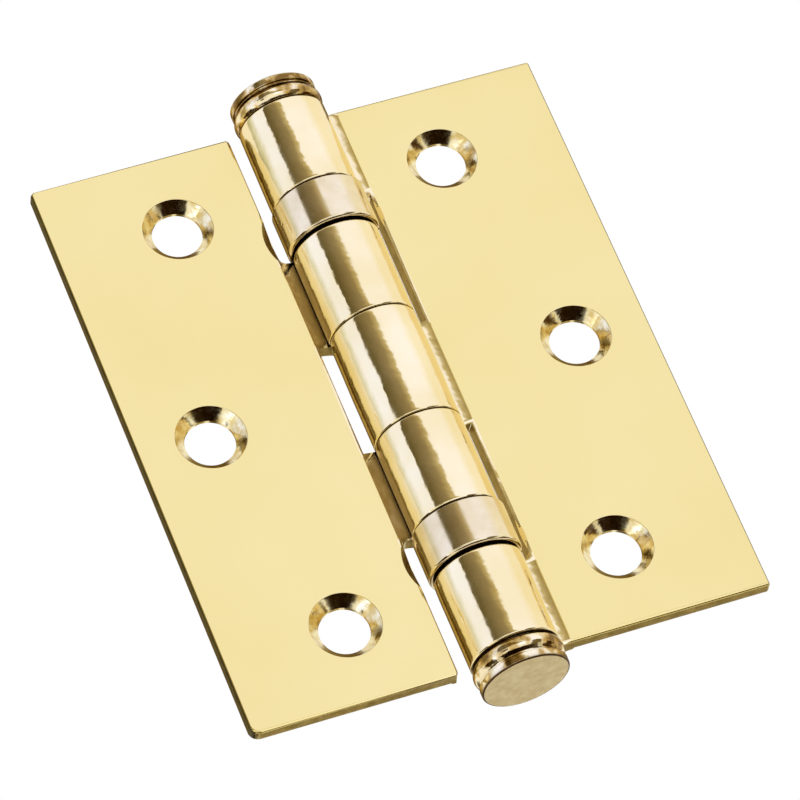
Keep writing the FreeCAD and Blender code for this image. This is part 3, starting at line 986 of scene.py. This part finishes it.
@dataclass
class Shell:
    """The bearing's drawn outer shell, its lower rim rolled in. Sizes in millimetres."""

    node: str
    body: str
    seat: float
    outside: float = 5.7
    wall: float = 0.35
    low: float = 0.35
    high: float = 6.17
    roll: float = 0.45
    lip: float = 4.85
    sharp_angle: float = 60.0
    rounding: float = 0.09

    def build(self) -> bpy.types.Object:
        """Make the shell.

        Returns:
            The finished shell.
        """
        mesh = bmesh.new()
        outline = Outline(mesh, self.lip, self.low)
        outline.line(self.outside - self.roll, self.low)
        outline.arc(self.outside - self.roll, self.low + self.roll, 90, 10.0)
        outline.line(self.outside, self.high)
        outline.line(self.outside - self.wall, self.high)
        outline.line(self.outside - self.wall, self.low + self.roll)
        outline.arc(self.outside - self.roll, self.low + self.roll, -90, 15.0)
        outline.line(self.lip, self.low + self.wall)
        mesh.edges.new((outline.last, outline.first))
        turn_profile(mesh, 144)
        bmesh.ops.translate(mesh, verts=mesh.verts[:], vec=(0, 0, self.seat))
        shell = to_object(mesh, f"{self.node}_drawn")
        round_edges(shell, self.rounding_of)
        dress(shell, [SHELL_BRASS])
        place_piece(shell, self.node, self.body)
        return shell

    def rounding_of(self, edge: bmesh.types.BMEdge) -> float:
        """Round the shell's rims."""
        sharp = edge.calc_face_angle_signed(0.0) >= math.radians(self.sharp_angle)
        return self.rounding if sharp else 0.0


# ------------------------ studio


def heading(bearing: float, elevation: float, roll: float = 0.0) -> Matrix:
    """The turn of a camera or a lamp that looks back at the hinge, from angles in degrees."""
    lift = Matrix.Rotation(math.radians(90 - elevation), 4, "X")
    spin = Matrix.Rotation(math.radians(roll), 4, "Z")
    return Matrix.Rotation(math.radians(bearing), 4, "Z") @ lift @ spin


@dataclass
class Camera:
    """A long lens, aimed from below, in front and to the left of the hinge."""

    azimuth: float = -16.858
    elevation: float = -28.007
    roll: float = -23.637
    distance_mm: float = 701.7588
    target_mm: tuple[float, float, float] = (-0.0546, 1.0420, -1.8452)
    lens_mm: float = 273.885

    def build(self) -> bpy.types.Object:
        """Make the camera and set it as the scene's.

        Returns:
            The camera.
        """
        data = bpy.data.cameras.new("camera")
        data.lens = self.lens_mm
        data.sensor_width = 36.0
        data.clip_start = 0.01
        camera = bpy.data.objects.new("camera", data)
        turn = heading(self.azimuth, self.elevation, self.roll)
        back = turn.to_3x3() @ Vector((0, 0, 1))
        eye = (Vector(self.target_mm) + back * self.distance_mm) * MM
        camera.matrix_world = Matrix.Translation(eye) @ turn
        bpy.context.scene.collection.objects.link(camera)
        bpy.context.scene.camera = camera
        return camera


@dataclass
class Card:
    """A card on a sphere about the hinge, seen only in its reflections."""

    name: str
    azimuths: tuple[float, float]
    elevations: tuple[float, float]
    stops: tuple[tuple[float, str], ...]
    edges: tuple[float, float] = (0.05, 0.05)
    narrowing: float = 0.0
    strength: float = 1.0
    distance: float = 2.0

    def build(self) -> bpy.types.Object:
        """Make the card.

        Returns:
            The card, hidden from the camera, from diffuse and transmission rays and from shadows.
        """
        mesh = bmesh.new()
        low, high = (math.radians(angle) for angle in self.elevations)
        start, end = (math.radians(angle) for angle in self.azimuths)
        foot = mesh.verts.new((self.distance * math.cos(low), 0, self.distance * math.sin(low)))
        swing(mesh, [foot], high - low, 16, axis=(0, -1, 0))
        turn = Matrix.Rotation(start, 3, "Z")
        bmesh.ops.rotate(mesh, cent=(0, 0, 0), matrix=turn, verts=mesh.verts[:])
        swing(mesh, mesh.verts[:] + mesh.edges[:], end - start, 32)
        card = to_object(mesh, self.name, unit=1.0)
        card.data.materials.append(self.paint())
        card.visible_camera = False
        card.visible_diffuse = False
        card.visible_shadow = False
        card.visible_transmission = False
        return card

    def paint(self) -> bpy.types.Material:
        """Glowing colours from the card's first azimuth to its last, with soft edges.

        Returns:
            The card's material.
        """
        material = bpy.data.materials.new(self.name)
        tree = fresh_tree(material)
        place = add_node(tree, "TexCoord", {}).outputs["Object"]
        middle = math.radians(sum(self.azimuths) / 2)
        width = math.radians(self.azimuths[1] - self.azimuths[0])
        turn = (0.0, 0.0, -middle)
        turned = add_node(tree, "Mapping", {"Vector": place, "Rotation": turn})
        axes = add_node(tree, "SeparateXYZ", {"Vector": turned.outputs["Vector"]}).outputs
        inputs = {0: axes["Y"], 1: axes["X"]}
        bearing = add_node(tree, "Math", inputs, operation="ARCTAN2").outputs["Value"]
        inputs = {0: bearing, 1: width / 2}
        from_start = add_node(tree, "Math", inputs, operation="ADD").outputs["Value"]
        low, high = (self.distance * math.sin(math.radians(e)) for e in self.elevations)
        inputs = {"Value": axes["Z"], "From Min": low, "From Max": high}
        inputs |= {"To Min": width, "To Max": width * (1 - self.narrowing)}
        reach = add_node(tree, "MapRange", inputs).outputs["Result"]
        inputs = {0: from_start, 1: reach}
        along = add_node(tree, "Math", inputs, operation="DIVIDE").outputs["Value"]
        tone = add_node(tree, "ValToRGB", {"Fac": along})
        set_stops(tone, self.stops)
        inputs = {"Value": along, "From Min": 0.0, "From Max": self.edges[0]}
        first = add_node(tree, "MapRange", inputs, **SOFT_ENDS).outputs["Result"]
        inputs = {"Value": along, "From Min": 1.0, "From Max": 1.0 - self.edges[1]}
        last = add_node(tree, "MapRange", inputs, **SOFT_ENDS).outputs["Result"]
        cover = add_node(tree, "Math", {0: first, 1: last}, operation="MULTIPLY").outputs["Value"]
        glow = add_node(tree, "Emission", {"Color": tone.outputs["Color"], "Strength": self.strength})
        clear = add_node(tree, "BsdfTransparent", {})
        inputs = {"Fac": cover, 1: clear.outputs["BSDF"], 2: glow.outputs["Emission"]}
        mixed = add_node(tree, "MixShader", inputs)
        add_node(tree, "OutputMaterial", {"Surface": mixed.outputs["Shader"]})
        return material


@dataclass
class Softbox:
    """A large square lamp aimed at the hinge."""

    name: str
    azimuth: float
    level: float
    elevation: float = 40.0
    width: float = 1.6
    distance: float = 1.6

    def build(self) -> bpy.types.Object:
        """Make the lamp, with the radiance that its level says.

        Returns:
            The lamp.
        """
        data = bpy.data.lights.new(self.name, "AREA")
        data.shape = "SQUARE"
        data.size = self.width
        data.energy = self.level * math.pi * self.width**2
        lamp = bpy.data.objects.new(self.name, data)
        turn = heading(self.azimuth + 90, self.elevation)
        back = turn.to_3x3() @ Vector((0, 0, 1))
        lamp.matrix_world = Matrix.Translation(back * self.distance) @ turn
        lamp.visible_camera = False
        lamp.visible_glossy = False
        bpy.context.scene.collection.objects.link(lamp)
        return lamp


@dataclass
class Studio:
    """White surroundings, a pale floor, two softboxes and the dark cards."""

    floor_height_mm: float = -41.5
    floor_size: float = 6.0
    ambient: float = 0.6

    def build(self) -> None:
        """Make everything round the hinge."""
        self.world()
        self.floor()
        self.lamps()
        self.cards()

    def world(self) -> None:
        """White to the camera and in reflections, and dimmer as light on the floor."""
        world = bpy.data.worlds.new("studio")
        bpy.context.scene.world = world
        tree = fresh_tree(world)
        path = add_node(tree, "LightPath", {}).outputs
        inputs = {0: path["Is Camera Ray"], 1: path["Is Glossy Ray"]}
        seen = add_node(tree, "Math", inputs, operation="MAXIMUM").outputs["Value"]
        inputs = {0: seen, 1: path["Is Transmission Ray"]}
        also = add_node(tree, "Math", inputs, operation="MAXIMUM").outputs["Value"]
        inputs = {"Value": also, "To Min": self.ambient, "To Max": 1.0}
        level = add_node(tree, "MapRange", inputs).outputs["Result"]
        glow = add_node(tree, "Background", {"Color": srgb("#ffffff"), "Strength": level})
        add_node(tree, "OutputWorld", {"Surface": glow.outputs["Background"]})

    def floor(self) -> None:
        """A pale floor under the lower tip, clear from below."""
        mesh = bmesh.new()
        bmesh.ops.create_grid(mesh, x_segments=1, y_segments=1, size=self.floor_size / 2)
        down = (0, 0, self.floor_height_mm * MM)
        bmesh.ops.translate(mesh, verts=mesh.verts[:], vec=down)
        floor = to_object(mesh, "floor", unit=1.0)
        material = bpy.data.materials.new("pale_floor_paint")
        tree = fresh_tree(material)
        behind = add_node(tree, "NewGeometry", {}).outputs["Backfacing"]
        paint = add_node(tree, "BsdfDiffuse", {"Color": srgb("#f4f4f2"), "Roughness": 0.4})
        clear = add_node(tree, "BsdfTransparent", {})
        inputs = {"Fac": behind, 1: paint.outputs["BSDF"], 2: clear.outputs["BSDF"]}
        mixed = add_node(tree, "MixShader", inputs)
        add_node(tree, "OutputMaterial", {"Surface": mixed.outputs["Shader"]})
        floor.data.materials.append(material)
        floor.visible_glossy = False

    def lamps(self) -> None:
        """Two broad softboxes, which light the floor."""
        Softbox("right_softbox", -33.0, 0.9).build()
        Softbox("left_softbox", -170.0, 0.7).build()

    def cards(self) -> None:
        """Cool bright silks, which bleach the brass to cream, and the dark cards of its bands."""
        olive = (
            (0.0, "#5a5034"),
            (0.18, "#6c6244"),
            (0.46, "#857a62"),
            (0.7, "#978a6e"),
            (0.91, "#c4b890"),
            (1.0, "#e0d8b8"),
        )
        gold = (
            (0.0, "#9a8650"),
            (0.3, "#6a5220"),
            (0.62, "#6e5620"),
            (0.8, "#b89c56"),
            (1.0, "#c8b068"),
        )
        umber = ((0.0, "#1a0f06"), (1.0, "#2a1a0a"))
        moss = ((0.0, "#6f6038"), (1.0, "#6f6038"))
        right = ((0.0, "#dae0ff"), (0.75, "#dae0ff"), (1.0, "#d5d5d5"))
        left = ((0.0, "#8a8a78"), (0.2, "#b0b4a8"), (0.5, "#cfd8ff"), (1.0, "#cfd8ff"))
        cool = ((0.0, "#cfd8ff"), (1.0, "#cfd8ff"))
        straw = ((0.0, "#b0a070"), (1.0, "#b0a070"))
        bronze = ((0.0, "#4a3a10"), (1.0, "#4a3a10"))
        chestnut = ((0.0, "#3a2410"), (1.0, "#6a4a1c"))
        khaki = ((0.0, "#6a5628"), (1.0, "#6a5628"))
        peat = ((0.0, "#3a2a12"), (1.0, "#3a2a12"))
        for card in (
            Card("right_silk", (-98.0, -15.0), (2.0, 60.0), right, (0.08, 0.02), strength=1.5),
            Card("left_silk", (160.0, 219.0), (2.0, 60.0), left, (0.02, 0.01), strength=1.6),
            Card("front_card", (-141.0, -70.0), (8.0, 60.0), olive, (0.03, 0.05), 0.5, distance=1.9),
            Card("rear_card", (35.0, 129.0), (8.0, 62.0), gold),
            Card("low_rear_card", (61.0, 85.0), (-40.0, -16.0), straw),
            Card("under_card", (-150.0, -26.0), (-78.0, -38.0), umber),
            Card("left_slot_card", (-138.0, -112.0), (-15.0, 2.0), bronze, (0.4, 0.4)),
            Card("low_front_silk", (-98.0, -50.0), (-14.0, 1.0), cool, (0.1, 0.1), strength=2.0),
            Card("low_left_silk", (-159.5, -153.5), (-34.0, -8.0), cool, strength=3.0),
            Card("low_far_right_card", (-21.0, 8.0), (-62.0, -12.0), chestnut, (0.15, 0.15)),
            Card("ceiling_card", (-180.0, 180.0), (72.0, 89.0), khaki, (0.001, 0.001)),
            Card("low_right_card", (-60.0, -30.0), (-50.0, 0.0), moss, (0.2, 0.2)),
            Card("low_left_card", (163.0, 205.0), (-58.0, -12.0), peat, (0.2, 0.2)),
            Card("low_back_card", (95.0, 120.0), (-50.0, 0.0), moss, (0.2, 0.2)),
        ):
            card.build()


# ------------------------ the whole hinge


@dataclass
class Hinge:
    """The whole hinge: its smooth pieces, and a finish for each kind of node that stays."""

    nodes: dict[str, bpy.types.Object]
    kept: dict[str, Metal] = field(
        default_factory=lambda: {
            "pin": PIN_STEEL,
            "race": GREASE_AND_GAP_SHADE_STEEL,
            "balls": BALL_STEEL,
            "cage": CAGE_BRASS,
        }
    )

    def build(self) -> None:
        """Make every piece and report it."""
        pieces = [
            Leaf(
                "frame_leaf",
                "frame_side",
                Side.FRAME,
                notches=[(7.35, 26.25), (-26.25, -7.35)],
            ),
            Leaf(
                "door_leaf",
                "door_side",
                Side.DOOR,
                notches=[(19.75, 40.0), (-7.45, 7.45), (-40.0, -19.75)],
                upper_corner=0.6,
                lower_corner=1.2,
                inner_corner=0.6,
                blanking_draft=0.0,
                relief_radius=6.6,
            ),
            Tip("top_tip", End.TOP),
            Tip("bottom_tip", End.BOTTOM),
            Shell("upper_bearing_shell", "frame_side", 19.75),
            Shell("lower_bearing_shell", "door_side", -26.25),
        ]
        for piece in pieces:
            made = piece.build()
            LOG.info("%s: %d faces", made.name, len(made.data.polygons))
        for kind, finish in self.kept.items():
            material = finish.build()
            for name in (name for name in self.nodes if name.endswith(f"_{kind}")):
                for slot in self.nodes[name].material_slots:
                    slot.material = material
                LOG.info("%s: %s", name, finish.name)


def main() -> None:
    """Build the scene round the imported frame."""
    logging.basicConfig(level=logging.INFO, format="%(name)s: %(message)s")
    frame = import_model()
    bpy.context.scene.view_settings.view_transform = "Standard"
    Camera().build()
    Studio().build()
    Hinge(frame["nodes"]).build()


if __name__ == "__main__":
    main()
